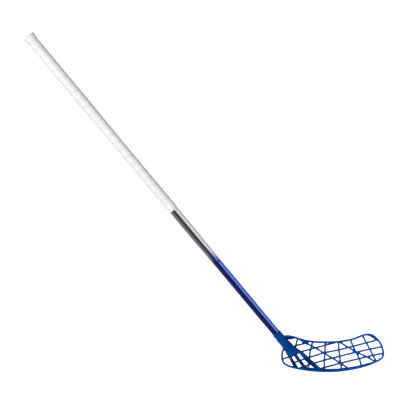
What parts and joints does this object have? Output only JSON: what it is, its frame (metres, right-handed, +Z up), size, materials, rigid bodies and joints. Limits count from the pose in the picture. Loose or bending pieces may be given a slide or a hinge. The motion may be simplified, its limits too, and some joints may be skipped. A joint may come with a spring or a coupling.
{
  "type": "floorball stick",
  "caption": "Floorball stick with a tapered composite shaft, a tape-wrapped grip with a flared knob, and a hooked open-lattice plastic blade.",
  "frame": {"origin": "the middle of the wrapped grip, on the shaft's axis", "axes": "+Z up in the playing pose, +X from the shaft towards the blade's toe, +Y away from the side that the toe hooks to; the shaft lies in the XZ plane at 50.14 degrees to the ground"},
  "size_m": [0.8462, 0.0441, 0.7991],
  "materials": {
    "shaft_lacquer": "clear gloss lacquer over a glass and carbon fibre tube: white and black above, light and dark blue below",
    "cap_plastic": "moulded, satin",
    "knob_tape": "wound cloth tape",
    "grip_tape": "soft polyurethane grip tape, matt",
    "band_tape": "thin plastic tape, satin",
    "plug_plastic": "moulded",
    "blade_plastic": "moulded polyethylene, satin gloss",
    "screw_steel": "zinc plated"
  },
  "bodies": {
    "root": {"shaft_tube": "shaft_lacquer", "end_cap": "cap_plastic", "knob_build_up": "knob_tape", "grip_wrap": "grip_tape", "finishing_band": "band_tape", "shaft_plug": "plug_plastic", "blade": "blade_plastic", "blade_screw": "screw_steel"}
  },
  "joints": []
}
